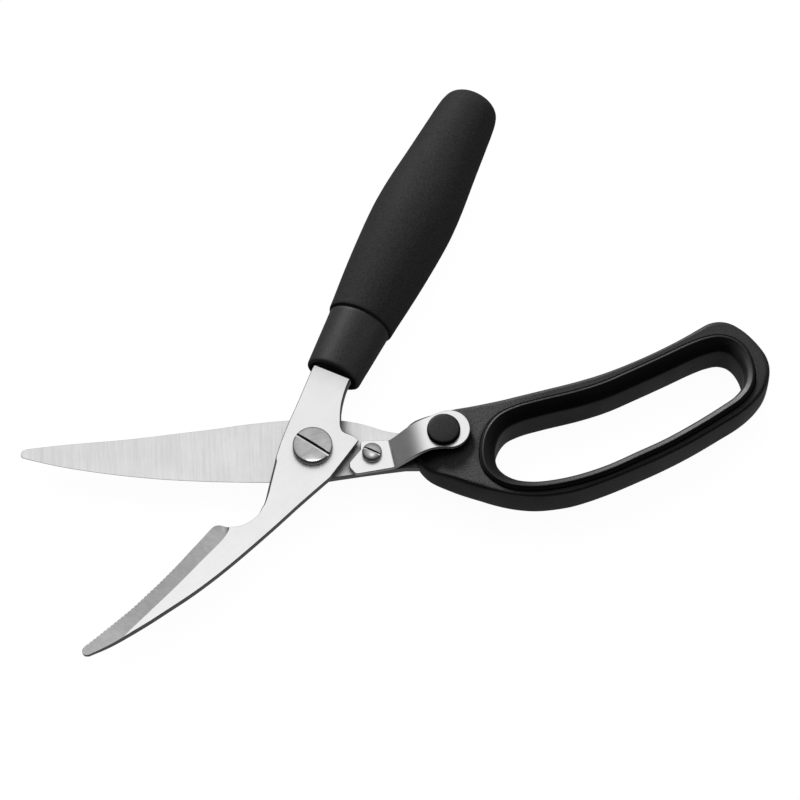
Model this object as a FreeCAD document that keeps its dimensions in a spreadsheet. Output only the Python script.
# Poultry shears: two pinned blades, a straight two-part grip, a closed finger
# loop and a cranked latch lever.
#
# Frame: millimetres, +Z up.  The origin is on the pivot axis, in the flat
# underside of the pivot nut.  +X runs from the blade tips to the finger loop,
# +Y to the side of the straight grip.  The shears are drawn open; the rear
# (lower) blade with its loop stands still, the front (upper) one turns about Z.
import FreeCAD, Part
import Sketcher
import math
import os
from FreeCAD import Placement, Rotation, Vector

doc = FreeCAD.newDocument("poultry_shears")

# ---------------------------------------------------------------- dimensions
DIMENSIONS = [
    # stack along the pivot, upward
    ("nut_height", 2.2), ("nut_across_flats", 13.0),
    ("lock_washer_height", 0.6), ("lock_washer_dia", 14.0),
    ("rear_bottom", "=nut_height + lock_washer_height"), ("rear_thickness", 3.0),
    ("blade_gap", 0.03),
    ("front_bottom", "=rear_bottom + rear_thickness + blade_gap"), ("front_thickness", 2.97),
    ("friction_washer_height", 0.4), ("friction_washer_dia", 12.6),
    ("head_bottom", "=front_bottom + front_thickness + friction_washer_height"),
    ("head_height", 2.8), ("head_dia", 13.5), ("head_dome", 0.55),
    ("slot_width", 1.35), ("slot_depth", 1.3),
    ("shank_dia", 8.0), ("hole_clearance", 0.1),
    ("pivot_hole_dia", "=shank_dia + hole_clearance"), ("thread_dia", 6.0),
    # blades
    ("bevel_land", 0.18), ("rear_bevel_width", 8.0), ("rear_bevel_land", 0.2),
    ("relief_inner_radius", 13.15), ("relief_outer_radius", 17.4),
    ("relief_depth", 1.84), ("relief_core_height", 10.0),
    ("tooth_pitch", 1.25), ("tooth_depth", 0.28),
    # straight grip
    ("grip_angle", 65.83), ("grip_offset", 5.2), ("grip_axis_z", 8.3),
    ("mouth_start", 27.6), ("mouth_depth", 1.2), ("mouth_radius", 8.5),
    ("collar_start_radius", 9.75), ("collar_end_radius", 11.05),
    ("collar_end", 49.9), ("rod_radius", 7.0), ("rod_end", 142.0),
    ("grip_pin_dia", 3.0), ("grip_pin_length", 11.0),
    # finger loop
    ("loop_bottom", -0.7), ("loop_thickness", 13.0), ("loop_round", 2.4),
    ("liner_bottom", -2.2), ("liner_thickness", 16.0), ("liner_round", 1.6),
    ("loop_pin_dia", 3.4), ("loop_pin_length", 8.6),
    # latch
    ("closed_angle", 42.0), ("locked_angle", 14.0),
    ("latch_x", 20.1), ("latch_y", -1.6), ("lever_angle", 12.1),
    ("lever_clearance", 0.1),
    ("lever_bottom", "=rear_bottom + rear_thickness + lever_clearance"),
    ("lever_thickness", 1.5), ("lever_rise", 8.0), ("lever_blank_width", 40.0),
    ("eye_radius", 7.0), ("eye_distance", 26.7), ("bore_tool_height", 30.0),
    ("latch_shank_dia", 4.0), ("lever_hole_dia", "=latch_shank_dia + hole_clearance"),
    ("latch_head_dia", 6.7), ("latch_head_height", 2.2), ("latch_slot_depth", 1.1),
    ("latch_play", 0.05),
    ("latch_washer_bottom", "=lever_bottom + lever_thickness + latch_play"),
    ("latch_washer_dia", 6.4), ("latch_washer_height", 0.35),
    ("latch_head_bottom", "=latch_washer_bottom + latch_washer_height"),
    ("latch_nut_height", 2.1), ("latch_nut_flats", 7.0),
    ("button_x", 44.3), ("button_y", 3.2), ("button_dia", 11.3),
    ("button_height", 1.9), ("button_stem_dia", 5.0),
    ("clip_dia", 7.4), ("clip_height", 0.7),
]
sheet = doc.addObject("Spreadsheet::Sheet", "dims")
for row, (name, value) in enumerate(DIMENSIONS, start=1):
    sheet.set("A%d" % row, name)
    sheet.set("B%d" % row, str(value))
    sheet.setAlias("B%d" % row, name)
doc.recompute()
dim = {name: float(sheet.get(name)) for name, _ in DIMENSIONS}


# ------------------------------------------------------------ sketch helpers
def placed(x, y, z=0.0, degrees=0.0):
    """placement at a point, turned about Z"""
    return Placement(Vector(x, y, z), Rotation(Vector(0, 0, 1), degrees))


def line(start, end):
    return Part.LineSegment(Vector(start[0], start[1], 0), Vector(end[0], end[1], 0))


def curve(points):
    """smooth curve through the points"""
    spline = Part.BSplineCurve()
    spline.interpolate([Vector(x, y, 0) for x, y in points])
    return spline


def lines(points):
    """straight runs, for outline(), from each point to the next"""
    return [list(pair) for pair in zip(points, points[1:])]


def new_body(name, place=Placement()):
    body = doc.addObject("PartDesign::Body", name + "_body")
    body.Placement = place
    return body


def new_sketch(body, name, role="XY_Plane", z=None):
    """sketch on a plane of the body's origin, raised by the expression z"""
    plane = next(item for item in body.Origin.OriginFeatures if item.Role == role)
    sketch = body.newObject("Sketcher::SketchObject", name)
    sketch.AttachmentSupport = (plane, [""])
    sketch.MapMode = "FlatFace"
    if z is not None:
        sketch.setExpression(".AttachmentOffset.Base.z", z)
    return sketch


def outline(sketch, runs):
    """closed outline: each run is a list of points, drawn as one smooth curve,
    or as a straight line when it has two points"""
    first = sketch.GeometryCount
    for run in runs:
        sketch.addGeometry(line(*run) if len(run) == 2 else curve(run), False)
    count = len(runs)
    for i in range(count):
        sketch.addConstraint(Sketcher.Constraint(
            "Coincident", first + i, 2, first + (i + 1) % count, 1))


def polygon(sketch, corners):
    outline(sketch, lines(corners + corners[:1]))


def closed_curve(sketch, points):
    """closed smooth outline, split in two halves that meet on a tangent"""
    spline = Part.BSplineCurve()
    spline.interpolate(Points=[Vector(x, y, 0) for x, y in points], PeriodicFlag=True)
    start, end = spline.FirstParameter, spline.LastParameter
    middle = start + 0.5 * (end - start)
    for low, high in ((start, middle), (middle, end)):
        half = spline.copy()
        half.segment(low, high)
        sketch.addGeometry(half, False)
    sketch.addConstraint(Sketcher.Constraint("Coincident", 0, 2, 1, 1))
    sketch.addConstraint(Sketcher.Constraint("Coincident", 1, 2, 0, 1))


def circle(sketch, x, y, name, diameter):
    """circle whose radius is bound to half the named dimension"""
    index = sketch.addGeometry(Part.Circle(Vector(x, y, 0), Vector(0, 0, 1), 1.0), False)
    radius = sketch.addConstraint(Sketcher.Constraint("Radius", index, 1.0))
    sketch.renameConstraint(radius, name)
    sketch.setExpression("Constraints." + name, "dims.%s / 2" % diameter)


# ------------------------------------------------------------- solid helpers
def pad(body, sketch, name, length, symmetric=False):
    result = body.newObject("PartDesign::Pad", name)
    result.Profile = sketch
    if symmetric:
        result.SideType = "Symmetric"
    result.setExpression("Length", length)
    sketch.Visibility = False
    doc.recompute()
    return result


def pocket(body, sketch, name, length=None, reverse=False):
    """pocket of a given length, or right through both ways without one"""
    before = body.Shape.Volume
    result = body.newObject("PartDesign::Pocket", name)
    result.Profile = sketch
    result.Reversed = reverse
    if length is None:
        result.Type = "ThroughAll"
        result.SideType = "Symmetric"
    else:
        result.setExpression("Length", length)
    doc.recompute()
    if not body.Shape.Volume < before - 1e-6:
        raise RuntimeError("pocket %s cut nothing" % name)
    return result


def drill(body, sketch_name, pocket_name, centres, diameter, z):
    """through holes of one size"""
    sketch = new_sketch(body, sketch_name, z=z)
    for i, (x, y) in enumerate(centres):
        circle(sketch, x, y, "hole%d" % i, diameter)
    pocket(body, sketch, pocket_name)


def turn(body, name, runs, axis="V_Axis"):
    """revolve a profile: about Z in the XZ plane, or with H_Axis about X in XY"""
    role = "XZ_Plane" if axis == "V_Axis" else "XY_Plane"
    sketch = new_sketch(body, name + "_profile", role)
    outline(sketch, runs)
    turned = body.newObject("PartDesign::Revolution", name + "_turned")
    turned.Profile = sketch
    turned.ReferenceAxis = (sketch, [axis])
    turned.Angle = 360
    doc.recompute()


def screw_slot(body, name, degrees, half_length, half_width, z, length):
    """straight driver slot in a screw head, from height z upward"""
    angle = math.radians(degrees)
    ux, uy = math.cos(angle), math.sin(angle)
    sketch = new_sketch(body, name, z=z)
    polygon(sketch, [(ux * along - uy * across, uy * along + ux * across)
                     for along, across in ((half_length, half_width), (-half_length, half_width),
                                           (-half_length, -half_width),
                                           (half_length, -half_width))])
    pocket(body, sketch, name + "_cut", length, reverse=True)


def cut(name, base, tool):
    result = doc.addObject("Part::Cut", name)
    result.Base = base
    result.Tool = tool
    doc.recompute()
    return result


def feature(name, shape):
    result = doc.addObject("Part::Feature", name)
    result.Shape = shape
    return result


def cylinder(name, radius, height, place):
    """cylinder with expressions for its radius and height"""
    result = doc.addObject("Part::Cylinder", name)
    result.setExpression("Radius", radius)
    result.setExpression("Height", height)
    result.Placement = place
    return result


def pin_set(name, centres, middle_z):
    """compound of upright pins centred on a height"""
    pins = []
    bottom = middle_z - dim[name + "_length"] / 2
    for i, (x, y) in enumerate(centres, start=1):
        pins.append(cylinder("%s_%d" % (name, i), "dims.%s_dia / 2" % name,
                             "dims.%s_length" % name, placed(x, y, bottom)))
    doc.recompute()
    compound = doc.addObject("Part::Compound", name + "s")
    compound.Links = pins
    doc.recompute()
    return compound


parts = []


def keep(item, label):
    item.Label = label
    parts.append(item)


def ring(label, stem, outer, inner, height, z=None, place=Placement()):
    """flat washer"""
    body = new_body(label, place)
    sketch = new_sketch(body, stem + "_profile", z=z)
    circle(sketch, 0, 0, "outer", outer)
    circle(sketch, 0, 0, "inner", inner)
    pad(body, sketch, stem + "_pad", height)
    keep(body, label)


def hex_nut(label, flats, bore, height, place=Placement()):
    body = new_body(label, place)
    sketch = new_sketch(body, label + "_profile")
    corner_radius = dim[flats] / 2 / math.cos(math.radians(30))
    angles = [math.radians(60 * k + 30) for k in range(6)]
    polygon(sketch, [(corner_radius * math.cos(angle), corner_radius * math.sin(angle))
                     for angle in angles])
    circle(sketch, 0, 0, "bore", bore)
    pad(body, sketch, label + "_pad", height)
    keep(body, label)


GRIND_SECTIONS = 27
GRIND_OVERRUN = 3.0      # past the cutting edge
GRIND_HEIGHT = 4.0       # of the tool, beyond the ground face


def wedge(edge_points, inner_points, z_edge, z_face):
    """solid that grinds a bevel: sections run across the blade from the face
    line to the cutting edge and out past it"""
    edge_curve, inner_curve = curve(edge_points), curve(inner_points)
    outward = GRIND_HEIGHT if z_face > z_edge else -GRIND_HEIGHT
    sections = []
    for k in range(GRIND_SECTIONS):
        edge, inner = [
            c.value(c.FirstParameter
                    + k / (GRIND_SECTIONS - 1) * (c.LastParameter - c.FirstParameter))
            for c in (edge_curve, inner_curve)]
        across = edge - inner
        slope = (z_edge - z_face) / across.Length
        across.normalize()
        far = edge + across * GRIND_OVERRUN
        corners = [Vector(inner.x, inner.y, z_face),
                   Vector(far.x, far.y, z_edge + slope * GRIND_OVERRUN),
                   Vector(far.x, far.y, z_face + outward),
                   Vector(inner.x, inner.y, z_face + outward)]
        sections.append(Part.makePolygon(corners + corners[:1]))
    return Part.makeLoft(sections, True, False)


# ----------------------------------------------------------------- grip axis
# unit vectors along the grip and across it, toward the finger loop
grip_radians = math.radians(dim["grip_angle"])
grip_along = (math.cos(grip_radians), math.sin(grip_radians))
grip_across = (grip_along[1], -grip_along[0])


def grip_point(along, across):
    """plan point from its distances along the grip axis and across from it"""
    offset = across - dim["grip_offset"]
    return (grip_along[0] * along + grip_across[0] * offset,
            grip_along[1] * along + grip_across[1] * offset)


GRIP_PINS = [grip_point(along, 0) for along in (60.0, 100.0)]
GRIP_PLACE = placed(-grip_across[0] * dim["grip_offset"], -grip_across[1] * dim["grip_offset"],
                    dim["grip_axis_z"], dim["grip_angle"])

# --------------------------------------------------------- front blade blank
# plan outline, (x, y)
NOTCH = [(-27.9, -29.45), (-24.1, -29.1), (-20.4, -27.2), (-17.9, -24.8), (-16.9, -22.4),
         (-16.1, -20.8), (-14.6, -13.7), (-13.1, -6.7), (-12.6, -4.2)]
TANG_SIDE = [(-12.6, -4.2), (-10.9, 1.9), (-8.1, 10.0), (-5.6, 16.4), (-0.6, 29.9)]
EDGE = [(-33.9, -28.9), (-36.9, -32.6), (-40.8, -37.3), (-44.0, -41.2), (-47.3, -45.0),
        (-51.2, -49.3), (-55.1, -53.4), (-58.8, -57.3), (-63.5, -61.7), (-68.3, -66.0),
        (-71.6, -68.9), (-74.6, -71.5)]
TIP = [(-74.6, -71.5), (-75.5, -72.7), (-75.5, -74.1), (-74.6, -75.2), (-73.2, -75.3)]
SPINE = [(-73.2, -75.3), (-66.8, -72.3), (-60.7, -68.7), (-54.0, -64.3), (-47.4, -59.6),
         (-40.4, -54.5), (-33.7, -49.1), (-27.0, -43.2), (-20.2, -36.8), (-12.1, -28.9),
         (-4.1, -20.8), (5.9, -11.1)]
HEEL = [(-33.9, -28.9), (-32.9, -28.05), (-31.6, -27.85), (-30.2, -28.3), (-27.9, -29.45)]
# the tang inside the grip, (along, across) the grip axis
TANG = [(46.0, -6.6), (52.0, -4.6), (112.0, -3.4), (112.0, 3.4), (52.0, 4.6), (46.0, 6.0),
        (29.4, 6.3)]
tang = TANG_SIDE[-1:] + [grip_point(*point) for point in TANG]
SHOULDER = [(15.5, 2.8), (13.2, 4.9), (11.6, 5.75), (10.3, 6.6), (9.65, 8.4), (9.6, 11.1),
            (9.8, 15.4), (10.7, 20.0), (12.2, 24.7), tang[-1]]

front = new_body("front_blade_blank")
sketch = new_sketch(front, "front_outline", z="dims.front_bottom")
outline(sketch, [NOTCH, TANG_SIDE] + lines(tang)
        + [SHOULDER[::-1], [SHOULDER[0], SPINE[-1]], SPINE[::-1], TIP[::-1], EDGE[::-1], HEEL])
pad(front, sketch, "front_pad", "dims.front_thickness")
drill(front, "front_pivot_hole", "front_hole", [(0, 0)], "pivot_hole_dia", "dims.front_bottom")
drill(front, "front_pin_holes", "front_pin_pocket", GRIP_PINS, "grip_pin_dia",
      "dims.front_bottom")

front_bottom = dim["front_bottom"]
front_top = front_bottom + dim["front_thickness"]

# bevel on the upper face, down to a fine land on the mating (lower) side;
# both lines run on past the heel and the tip
EDGE_GRIND = ([(-27.6, -27.4), (-30.6, -26.4), (-34.0, -29.0)] + EDGE[1:]
              + [(-79.9, -76.1)])
INNER_GRIND = [(-27.55, -29.6), (-28.0, -31.2), (-29.6, -33.9), (-33.7, -38.6),
               (-37.1, -42.4), (-40.4, -46.2), (-43.7, -49.9), (-46.9, -53.4),
               (-50.1, -56.8), (-53.4, -60.3), (-56.6, -63.7), (-59.9, -67.2),
               (-62.6, -70.3), (-66.6, -73.8), (-70.0, -76.8), (-75.3, -81.4)]
front_grind = feature("front_grind", wedge(EDGE_GRIND, INNER_GRIND,
                                           front_bottom + dim["bevel_land"], front_top))
front_ground = cut("front_ground", front, front_grind)

# ------------------------------------------------ teeth of the front blade
TEETH_START = 14.0       # first tooth, along the edge from the heel
TEETH_END_MARGIN = 0.8   # plain edge left at the tip
TOOTH_HALF_WIDTH = 0.42  # of the pitch, at the tool's open side
TOOTH_OVERHANG = 0.5     # the tool reaches this far outside the edge
TOOTH_TOOL_BELOW = 1.0
TOOTH_TOOL_HEIGHT = 5.0

edge_curve = curve(EDGE)
edge_length = edge_curve.length()
teeth = []
distance = TEETH_START
while distance < edge_length - TEETH_END_MARGIN:
    parameter = edge_curve.parameterAtDistance(distance, edge_curve.FirstParameter)
    point = edge_curve.value(parameter)
    tangent = edge_curve.tangent(parameter)[0]
    outward = Vector(tangent.y, -tangent.x, 0)
    growth = min(1.0, 0.35 + 0.65 * (distance / edge_length))  # teeth deepen to the tip
    half_width = tangent * (dim["tooth_pitch"] * TOOTH_HALF_WIDTH)
    corners = [point + outward * TOOTH_OVERHANG + half_width,
               point + outward * TOOTH_OVERHANG - half_width,
               point - outward * (dim["tooth_depth"] * growth)]
    corners = [Vector(c.x, c.y, front_bottom - TOOTH_TOOL_BELOW) for c in corners]
    triangle = Part.Face(Part.makePolygon(corners + corners[:1]))
    teeth.append(triangle.extrude(Vector(0, 0, TOOTH_TOOL_HEIGHT)))
    distance += dim["tooth_pitch"]
front_teeth = feature("front_teeth", Part.makeCompound(teeth))
front_toothed = cut("front_toothed", front_ground, front_teeth)

# ------------------------------------------------------- latch lever in plan
latch_x, latch_y = dim["latch_x"], dim["latch_y"]
lever_radians = math.radians(dim["lever_angle"])


def lever_axes(x, y):
    """plan point in the lever's own axes"""
    dx, dy = x - latch_x, y - latch_y
    return (dx * math.cos(lever_radians) + dy * math.sin(lever_radians),
            -dx * math.sin(lever_radians) + dy * math.cos(lever_radians))


def lever_plan_wire():
    """nose on the pivot side, eye at the far end"""
    nose = [lever_axes(*point) for point in (
        (16.75, 3.3), (16.15, 2.6), (16.2, 0.0), (12.65, -4.65), (12.45, -5.2),
        (12.6, -6.7), (14.4, -8.9), (15.3, -9.1), (26.6, -6.95))]
    radius, distance = dim["eye_radius"], dim["eye_distance"]
    # the eye's arc starts just short of its middle, where it is a hair narrower
    arc_x, arc_y = distance - 0.6, radius - 0.026
    # the lever's two long sides, in its own axes
    low_side = [nose[-1], (12.5, -6.45), (20.3, -5.95), (23.2, -6.3), (arc_x, -arc_y)]
    high_side = [(arc_x, arc_y), (23.0, 6.4), (20.0, 5.75), (13.0, 4.6), (7.6, 3.75),
                 lever_axes(25.0, 3.55)]
    geometry = [line(*run) for run in lines(nose)]
    geometry += [curve(low_side),
                 Part.Arc(Vector(arc_x, -arc_y, 0), Vector(distance + radius, 0, 0),
                          Vector(arc_x, arc_y, 0)),
                 curve(high_side), line(high_side[-1], nose[0])]
    return Part.Wire(Part.__sortEdges__([item.toShape() for item in geometry]))


lever_wire = lever_plan_wire()

# ------------------------------------------ reliefs under the front shoulder
TOOL_BELOW = 1.0          # relief tools start this far under the blade
RELIEF_START = -66.0      # degrees from +X
RELIEF_SWEEP = 122.0
RELIEF_CORE_BELOW = 3.0
NOSE_CLEARANCE = 0.2      # round the lever's nose
NOSE_STEPS = 8            # positions of the lever's swing
NOSE_REACH = 15.0         # the nose pocket stays within this radius of the pivot

# hidden relief on the mating side: the latch lever passes under it
relief_disc = cylinder("relief_disc", "dims.relief_outer_radius",
                       "dims.relief_depth + %g" % TOOL_BELOW,
                       placed(0, 0, front_bottom - TOOL_BELOW, RELIEF_START))
relief_disc.Angle = RELIEF_SWEEP
relief_core = cylinder("relief_core", "dims.relief_inner_radius", "dims.relief_core_height",
                       placed(0, 0, front_bottom - RELIEF_CORE_BELOW))
relief = cut("shoulder_relief", relief_disc, relief_core)
front_relieved = cut("front_relieved", front_toothed, relief)

# pocket for the lever's nose: its grown plan at each step of its swing, seen
# from the front blade when the shears are shut
noses = []
grown_wire = lever_wire.makeOffset2D(NOSE_CLEARANCE)
for k in range(NOSE_STEPS):
    swing = -dim["locked_angle"] * k / (NOSE_STEPS - 1)
    nose = Part.Face(grown_wire).extrude(Vector(0, 0, dim["relief_depth"] + TOOL_BELOW))
    nose.Placement = placed(0, 0, 0, dim["closed_angle"]).multiply(
        placed(latch_x, latch_y, front_bottom - TOOL_BELOW, dim["lever_angle"] + swing))
    noses.append(nose)
near_pivot = Part.makeCylinder(NOSE_REACH, 20, Vector(0, 0, front_bottom - 5))
nose_pocket = feature("nose_pocket", noses[0].fuse(noses[1:]).common(near_pivot))
front_blade = cut("front_blade", front_relieved, nose_pocket)
keep(front_blade, "front_blade")

# ---------------------------------------------------------------- rear blade
# plan outline, (x, y)
REAR_EDGE = [(-14.6, -11.6), (-24.0, -11.55), (-34.5, -11.3), (-45.5, -10.8), (-55.9, -10.0),
             (-70.2, -8.3), (-84.6, -5.9), (-92.0, -4.2), (-97.2, -2.8)]
REAR_TIP = [(-97.2, -2.8), (-98.7, -2.2), (-99.1, -1.0), (-98.6, 0.2), (-97.3, 0.9)]
REAR_SPINE = [(-97.3, 0.9), (-88.0, 2.1), (-77.7, 3.2), (-66.5, 4.2), (-56.4, 5.4),
              (-45.5, 6.9), (-35.0, 8.3), (-21.5, 10.4), (-8.1, 11.8), (1.5, 12.4),
              (10.1, 11.7), (16.0, 10.5), (20.3, 9.2), (23.6, 8.0), (27.6, 7.1), (31.5, 6.7)]
REAR_TANG = [(31.5, 6.7), (44.0, 6.0), (53.0, 4.4), (53.0, -5.2), (44.0, -6.0), (31.5, -6.1)]
REAR_LOW = [(31.5, -6.1), (20.0, -7.7), (9.3, -9.4), (4.0, -10.3), (-4.0, -11.2),
            (-14.6, -11.6)]
LOOP_PINS = [(42.0, 0.5), (49.5, -0.3)]

rear = new_body("rear_blade_blank")
sketch = new_sketch(rear, "rear_outline", z="dims.rear_bottom")
outline(sketch, [REAR_EDGE, REAR_TIP, REAR_SPINE] + lines(REAR_TANG) + [REAR_LOW])
pad(rear, sketch, "rear_pad", "dims.rear_thickness")
for sketch_name, pocket_name, centres, diameter in (
        ("rear_pivot_hole", "rear_hole", [(0, 0)], "shank_dia"),
        ("rear_latch_hole", "rear_latch_pocket", [(latch_x, latch_y)], "latch_shank_dia"),
        ("rear_pin_holes", "rear_pin_pocket", LOOP_PINS, "loop_pin_dia")):
    drill(rear, sketch_name, pocket_name, centres, diameter, "dims.rear_bottom")

# bevel on the lower face; its width shrinks by this share toward the tip
BEVEL_TAPER = 0.62
rear_edge_grind = [(-12.0, -11.9)] + REAR_EDGE[1:-1] + [(-99.4, -2.3)]
rear_inner_grind = []
for i, (x, y) in enumerate(rear_edge_grind):
    fraction = i / (len(rear_edge_grind) - 1.0)
    width = dim["rear_bevel_width"] * (1.0 - BEVEL_TAPER * fraction ** 3)
    # the face line leans toward +X and is drawn in close to the tip
    rear_inner_grind.append((x + 0.10 * width + 3.0 * fraction ** 8,
                             y + width * 0.99 - 1.2 * fraction ** 6))
rear_top = dim["rear_bottom"] + dim["rear_thickness"]
rear_grind = feature("rear_grind", wedge(rear_edge_grind, rear_inner_grind,
                                         rear_top - dim["rear_bevel_land"],
                                         dim["rear_bottom"]))
rear_blade = cut("rear_blade", rear, rear_grind)
keep(rear_blade, "rear_blade")

# --------------------------------------------- pivot screw, nut and washers
SCREW_END = 0.35          # lower end of the screw
THREAD_CHAMFER = 0.4
HEAD_ROUND = 0.35

head_radius = dim["head_dia"] / 2
shank_radius = dim["shank_dia"] / 2
thread_radius = dim["thread_dia"] / 2
head_bottom = dim["head_bottom"]
head_top = head_bottom + dim["head_height"]
rim_top = head_top - dim["head_dome"]

screw = new_body("pivot_screw")
turn(screw, "pivot_screw", lines([
    (0, SCREW_END), (thread_radius - THREAD_CHAMFER, SCREW_END),
    (thread_radius, SCREW_END + THREAD_CHAMFER), (thread_radius, dim["rear_bottom"]),
    (shank_radius, dim["rear_bottom"]), (shank_radius, head_bottom),
    (head_radius, head_bottom), (head_radius, rim_top - HEAD_ROUND),
    (head_radius - HEAD_ROUND, rim_top)]) + [
    [(head_radius - HEAD_ROUND, rim_top), (head_radius * 0.62, head_top - 0.16),
     (0, head_top)],
    [(0, head_top), (0, SCREW_END)]])
screw_slot(screw, "pivot_slot", degrees=-34.0, half_length=9, half_width=dim["slot_width"] / 2,
           z="dims.head_bottom + dims.head_height - dims.slot_depth",
           length="dims.slot_depth + 2")
keep(screw, "pivot_screw")

hex_nut("pivot_nut", "nut_across_flats", "thread_dia", "dims.nut_height")
ring("pivot_lock_washer", "pivot_lock_washer", "lock_washer_dia", "thread_dia",
     "dims.lock_washer_height", z="dims.nut_height")
ring("pivot_friction_washer", "pivot_friction_washer", "friction_washer_dia", "shank_dia",
     "dims.friction_washer_height", z="dims.head_bottom - dims.friction_washer_height")


# --------------------------------------------------------------- latch lever
def strip_side(centre_line, bend_radius, offset):
    """one side of a bent strip seen from the side, offset from its centre
    line; both ends of the strip are level"""
    geometry = []
    last = Vector(centre_line[0][0], centre_line[0][1] + offset, 0)
    for before, bend, after in zip(centre_line, centre_line[1:], centre_line[2:]):
        heading = math.atan2(bend[1] - before[1], bend[0] - before[0])
        turning = math.atan2(after[1] - bend[1], after[0] - bend[0]) - heading
        sign = 1 if turning > 0 else -1
        setback = bend_radius * math.tan(abs(turning) / 2)
        centre_x = bend[0] - math.cos(heading) * setback - sign * math.sin(heading) * bend_radius
        centre_y = bend[1] - math.sin(heading) * setback + sign * math.cos(heading) * bend_radius
        radius = bend_radius - sign * offset
        angles = [heading + turning * part - sign * math.pi / 2 for part in (0, 0.5, 1)]
        arc = [Vector(centre_x + radius * math.cos(angle), centre_y + radius * math.sin(angle), 0)
               for angle in angles]
        geometry += [Part.LineSegment(last, arc[0]), Part.Arc(*arc)]
        last = arc[2]
    end = Vector(centre_line[-1][0], centre_line[-1][1] + offset, 0)
    geometry.append(Part.LineSegment(last, end))
    return geometry


BEND_RADIUS = 3.2
half_strip = dim["lever_thickness"] / 2
low_z = dim["lever_bottom"] + half_strip
high_z = low_z + dim["lever_rise"]
# centre line of the cranked strip, (along the lever, z)
CRANK = [(-14, low_z), (6.7, low_z), (20.2, high_z), (40, high_z)]

lever = new_body("latch_lever", placed(latch_x, latch_y, 0, dim["lever_angle"]))
sketch = new_sketch(lever, "lever_side", "XZ_Plane")
upper = strip_side(CRANK, BEND_RADIUS, half_strip)
lower = strip_side(CRANK, BEND_RADIUS, -half_strip)
ends = [Part.LineSegment(upper[-1].EndPoint, lower[-1].EndPoint),
        Part.LineSegment(lower[0].StartPoint, upper[0].StartPoint)]
for item in upper + lower + ends:
    sketch.addGeometry(item, False)
pad(lever, sketch, "lever_strap", "dims.lever_blank_width", symmetric=True)

lever_plan = feature("lever_plan", Part.Face(lever_wire).extrude(Vector(0, 0, 30)))
lever_plan.Placement = lever.Placement
lever_blank = doc.addObject("Part::Common", "latch_lever_blank")
lever_blank.Base = lever
lever_blank.Tool = lever_plan
doc.recompute()
pivot_bore = cylinder("lever_pivot_hole", "dims.lever_hole_dia / 2", "dims.bore_tool_height",
                      placed(latch_x, latch_y))
eye_bore = cylinder("lever_eye_hole", "dims.button_stem_dia / 2", "dims.bore_tool_height",
                    placed(dim["button_x"], dim["button_y"]))
lever_bored = cut("lever_bored", lever_blank, pivot_bore)
keep(cut("latch_lever", lever_bored, eye_bore), "latch_lever")

# --------------------------------------------------- latch screw, washer, nut
LATCH_SCREW_END = 0.5     # lower end of the screw
LATCH_CHAMFER = 0.3
latch_shank = dim["latch_shank_dia"] / 2
latch_head = dim["latch_head_dia"] / 2
head_low = dim["latch_head_bottom"]
head_high = head_low + dim["latch_head_height"]

latch_screw = new_body("latch_screw", placed(latch_x, latch_y))
turn(latch_screw, "latch_screw", lines([
    (0, LATCH_SCREW_END), (latch_shank - LATCH_CHAMFER, LATCH_SCREW_END),
    (latch_shank, LATCH_SCREW_END + LATCH_CHAMFER), (latch_shank, head_low),
    (latch_head, head_low), (latch_head, head_low + 0.9)]) + [
    [(latch_head, head_low + 0.9), (latch_head - 0.35, head_low + 1.45),
     (latch_head * 0.62, head_high - 0.22), (0, head_high)],
    [(0, head_high), (0, LATCH_SCREW_END)]])
screw_slot(latch_screw, "latch_slot", degrees=-25.0, half_length=5, half_width=0.42,
           z="dims.latch_head_bottom + dims.latch_head_height - dims.latch_slot_depth",
           length="dims.latch_head_height")
keep(latch_screw, "latch_screw")

ring("latch_spring_washer", "latch_washer", "latch_washer_dia", "latch_shank_dia",
     "dims.latch_washer_height", place=placed(latch_x, latch_y, dim["latch_washer_bottom"]))
hex_nut("latch_nut", "latch_nut_flats", "latch_shank_dia", "dims.latch_nut_height",
        place=placed(latch_x, latch_y, dim["rear_bottom"] - dim["latch_nut_height"]))

# ------------------------------------------------------ thumb button and clip
eye_top = dim["lever_bottom"] + dim["lever_rise"] + dim["lever_thickness"]
clip_bottom = eye_top - dim["lever_thickness"] - dim["clip_height"]
stem_end = clip_bottom - 0.15
stem_radius = dim["button_stem_dia"] / 2
button_radius = dim["button_dia"] / 2
button_top = eye_top + dim["button_height"]

button = new_body("latch_button", placed(dim["button_x"], dim["button_y"]))
turn(button, "latch_button", lines([
    (0, stem_end), (stem_radius, stem_end), (stem_radius, eye_top), (button_radius, eye_top),
    (button_radius, button_top - 0.9)]) + [
    [(button_radius, button_top - 0.9), (button_radius - 0.22, button_top - 0.42),
     (button_radius - 0.85, button_top - 0.18), (button_radius * 0.5, button_top - 0.04),
     (0, button_top)],
    [(0, button_top), (0, stem_end)]])
keep(button, "latch_button")
ring("latch_button_clip", "latch_clip", "clip_dia", "button_stem_dia", "dims.clip_height",
     place=placed(dim["button_x"], dim["button_y"], clip_bottom))

# ------------------------------------------------------------- straight grip
# profiles are (distance along the grip axis, radius)
COLLAR_CHAMFER = 0.3
ROD_CHAMFER = 1.0
SLEEVE_GAP = 0.05         # between collar and sleeve
ROD_GAP = 0.02            # between rod and sleeve

mouth, mouth_radius = dim["mouth_start"], dim["mouth_radius"]
mouth_floor = mouth + dim["mouth_depth"]
collar_end, collar_radius = dim["collar_end"], dim["collar_end_radius"]
collar_start_radius = dim["collar_start_radius"]
rod_radius, rod_end = dim["rod_radius"], dim["rod_end"]

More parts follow.
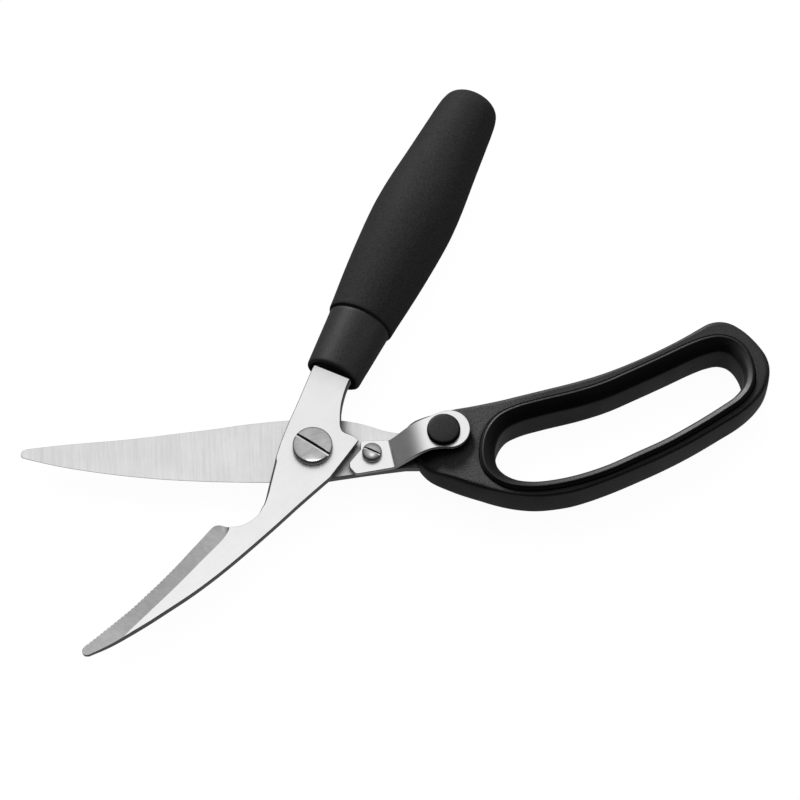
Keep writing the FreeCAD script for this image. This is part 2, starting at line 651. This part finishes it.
core = new_body("grip_core_blank", GRIP_PLACE)
lip_inner = (mouth + 0.35, mouth_radius + 0.15)
lip_outer = (mouth + 0.9, collar_start_radius)
turn(core, "grip_core",
     lines([(mouth_floor, 0), (mouth_floor, mouth_radius), lip_inner]) + [
         [lip_inner, (mouth, mouth_radius + 0.45), (mouth + 0.15, collar_start_radius - 0.35),
          lip_outer],
         [lip_outer, (34.0, 10.1), (39.0, 10.42), (44.5, 10.75),
          (collar_end - COLLAR_CHAMFER, collar_radius)]]
     + lines([(collar_end - COLLAR_CHAMFER, collar_radius),
              (collar_end, collar_radius - COLLAR_CHAMFER), (collar_end, rod_radius),
              (rod_end - ROD_CHAMFER, rod_radius), (rod_end, rod_radius - ROD_CHAMFER),
              (rod_end, 0), (mouth_floor, 0)]),
     axis="H_Axis")
grip_pins = pin_set("grip_pin", GRIP_PINS, dim["grip_axis_z"])
core_slotted = cut("grip_core_slotted", core, front_blade)
keep(cut("grip_core", core_slotted, grip_pins), "grip_core")

sleeve_start = collar_end + SLEEVE_GAP
bore_radius, bore_end = rod_radius + ROD_GAP, rod_end + ROD_GAP
SLEEVE_OUTER = [
    (sleeve_start + 0.55, 11.75), (55.0, 12.15), (60.0, 12.65), (66.0, 13.2), (73.0, 13.75),
    (80.0, 14.2), (87.0, 14.55), (93.5, 14.7), (100.0, 14.5), (107.0, 14.0), (114.0, 13.3),
    (120.0, 12.7), (127.0, 12.05), (133.0, 11.45), (139.0, 10.75), (144.0, 9.9), (147.0, 8.7),
    (149.2, 6.6), (150.3, 3.8), (150.6, 0)]
sleeve = new_body("grip_sleeve", GRIP_PLACE)
turn(sleeve, "grip_sleeve", [
    [(sleeve_start, bore_radius), (sleeve_start, 11.35)],
    [(sleeve_start, 11.35), (sleeve_start + 0.18, 11.65), SLEEVE_OUTER[0]],
    SLEEVE_OUTER] + lines([
        SLEEVE_OUTER[-1], (bore_end, 0), (bore_end, rod_radius - ROD_CHAMFER),
        (bore_end - ROD_CHAMFER, bore_radius), (sleeve_start, bore_radius)]),
     axis="H_Axis")
keep(sleeve, "grip_sleeve")
keep(grip_pins, "grip_pins")

# --------------------------------------------------------------- finger loop
# closed plan curves, (x, y): outside of the frame, and finger opening
LOOP = [(36.3, -6.2), (39.3, -9.3), (46.4, -12.6), (53.2, -15.2), (60.2, -17.4), (69.6, -19.4),
        (76.7, -19.8), (86.1, -18.6), (92.0, -16.9), (99.5, -14.0), (109.1, -9.7), (118.7, -5.0),
        (128.3, 0.3), (138.1, 6.5), (145.8, 11.7), (151.2, 16.9), (154.6, 22.2), (156.0, 28.2),
        (155.2, 33.2), (152.3, 38.2), (147.6, 43.4), (143.0, 46.4), (139.5, 47.1), (136.0, 46.5),
        (133.0, 44.9), (127.3, 41.1), (120.0, 36.8), (110.2, 31.8), (100.5, 27.6), (90.9, 24.3),
        (77.4, 20.5), (66.5, 17.6), (54.6, 14.7), (44.6, 12.1), (37.0, 10.2), (33.4, 8.9),
        (31.3, 7.0), (31.1, 5.0), (33.2, 0.0)]
OPENING = [(61.8, -3.0), (62.5, -7.8), (64.9, -10.7), (68.8, -12.8), (74.4, -13.8),
           (81.5, -13.1), (90.2, -11.0), (99.7, -7.5), (109.3, -2.8), (118.9, 2.0),
           (128.6, 7.8), (138.3, 14.3), (143.4, 18.2), (146.3, 22.2), (146.9, 26.2),
           (145.4, 31.0), (142.6, 34.6), (139.2, 35.8), (135.3, 35.1), (130.4, 33.1),
           (120.5, 28.0), (110.7, 23.1), (100.9, 18.4), (91.3, 15.0), (77.6, 11.3),
           (70.4, 9.0), (65.7, 6.4), (62.9, 2.3)]
LINER_GAP = 0.02          # between liner and frame


def liner_width(x, y):
    """5 mm at the end next to the blade and on the upper (+Y) arm, 3.5 mm on
    the lower one, with a smooth change between"""
    middle_y = -2.5 + (x - 62.0) * 0.40
    upper_share = max(0.0, min(1.0, (y - middle_y) / 6.0 + 0.5))
    near_share = max(0.0, min(1.0, (72.0 - x) / 8.0))
    return 3.5 + 1.5 * max(upper_share, near_share)


def liner_outline(gap):
    """the opening moved outward by the liner's width less a gap"""
    moved = []
    for i, (x, y) in enumerate(OPENING):
        before, after = OPENING[i - 1], OPENING[(i + 1) % len(OPENING)]
        dx, dy = after[0] - before[0], after[1] - before[1]
        chord = math.hypot(dx, dy)
        width = liner_width(x, y) - gap
        moved.append((x + dy / chord * width, y - dx / chord * width))
    return moved


def round_rims(body, base, stem):
    """fillet the long edges in the bottom and top faces"""
    bottom = dim[stem + "_bottom"]
    levels = (bottom, bottom + dim[stem + "_thickness"])
    names = ["Edge%d" % i for i, edge in enumerate(base.Shape.Edges, start=1)
             if edge.Length > 20
             and any(abs(edge.CenterOfMass.z - level) < 1e-3 for level in levels)]
    fillet = body.newObject("PartDesign::Fillet", stem + "_edges")
    fillet.Base = (base, names)
    fillet.setExpression("Radius", "dims.%s_round" % stem)
    doc.recompute()


frame = new_body("loop_frame_blank")
sketch = new_sketch(frame, "loop_outline", z="dims.loop_bottom")
closed_curve(sketch, LOOP)
round_rims(frame, pad(frame, sketch, "loop_pad", "dims.loop_thickness"), "loop")
sketch = new_sketch(frame, "liner_seat", z="dims.loop_bottom")
closed_curve(sketch, liner_outline(gap=0.0))
pocket(frame, sketch, "liner_seat_pocket")

# the nose of the handle thins down to the tang, above and below
half_loop = dim["loop_thickness"] / 2
loop_middle = dim["loop_bottom"] + half_loop
NOSE_ORIGIN = Vector(33.4, 0, 0)
nose_angle = math.atan2(5.4, 14.0)       # lean of the nose line
nose_inward = Vector(math.cos(nose_angle), math.sin(nose_angle), 0)
nose_side = Vector(-nose_inward.y, nose_inward.x, 0)
NOSE_START = -0.6                        # thinning, measured along nose_inward
NOSE_LENGTH = 12.6
NOSE_HALF_THICKNESS = 1.5
NOSE_BACK = 14.0                         # extent of the tool outside the nose
NOSE_TOOL_RISE = 6.0                     # and beyond the loop's faces
NOSE_HALF_WIDTH = 40.0


def nose_tool(sign):
    """solid above (1) or below (-1) the thinning face, swept along the nose line"""
    points = []
    for k in range(13):
        angle = k / 12.0 * math.pi / 2
        inward = NOSE_START + NOSE_LENGTH * (1 - math.cos(angle))
        rise = (NOSE_HALF_THICKNESS
                + (half_loop - NOSE_HALF_THICKNESS + 0.02) * math.sin(angle) ** 1.5)
        points.append(NOSE_ORIGIN + nose_inward * inward
                      + Vector(0, 0, loop_middle + sign * rise))
    face_curve = Part.BSplineCurve()
    face_curve.interpolate(points)
    start, end = points[0], points[-1]
    far_z = loop_middle + sign * (half_loop + NOSE_TOOL_RISE)
    back = NOSE_ORIGIN - nose_inward * NOSE_BACK + Vector(0, 0, start.z)
    far_back = Vector(back.x, back.y, far_z)
    far_end = Vector(end.x, end.y, far_z)
    wire = Part.Wire([Part.LineSegment(back, start).toShape(), face_curve.toShape(),
                      Part.LineSegment(end, far_end).toShape(),
                      Part.LineSegment(far_end, far_back).toShape(),
                      Part.LineSegment(far_back, back).toShape()])
    section = Part.Face(wire)
    section.translate(nose_side * -NOSE_HALF_WIDTH)
    return section.extrude(nose_side * (2 * NOSE_HALF_WIDTH))


nose_tools = feature("loop_nose_tool", Part.makeCompound([nose_tool(1), nose_tool(-1)]))
loop_nosed = cut("loop_nosed", frame, nose_tools)
loop_pins = pin_set("loop_pin", LOOP_PINS, dim["rear_bottom"] + dim["rear_thickness"] / 2)
loop_slotted = cut("loop_slotted", loop_nosed, rear_blade)
keep(cut("loop_frame", loop_slotted, loop_pins), "loop_frame")
keep(loop_pins, "loop_pins")

# liner: its rims are rounded inside and outside
liner = new_body("loop_liner")
sketch = new_sketch(liner, "liner_outer", z="dims.liner_bottom")
closed_curve(sketch, liner_outline(LINER_GAP))
pad(liner, sketch, "liner_pad", "dims.liner_thickness")
sketch = new_sketch(liner, "liner_inner", z="dims.liner_bottom")
closed_curve(sketch, OPENING)
round_rims(liner, pocket(liner, sketch, "liner_opening"), "liner")
keep(liner, "loop_liner")

# ------------------------------------------------------------ check and write
doc.recompute()
for item in doc.Objects:
    bad = [state for state in item.State if state in ("Invalid", "Error")]
    if bad:
        raise RuntimeError("%s is %s" % (item.Label, bad))
os.makedirs("parts", exist_ok=True)
for part in parts:
    shape = part.Shape
    if shape.isNull() or not shape.isValid() or not shape.Solids:
        raise RuntimeError("bad shape " + part.Label)
    shape.exportStep(os.path.join("parts", part.Label + ".step"))
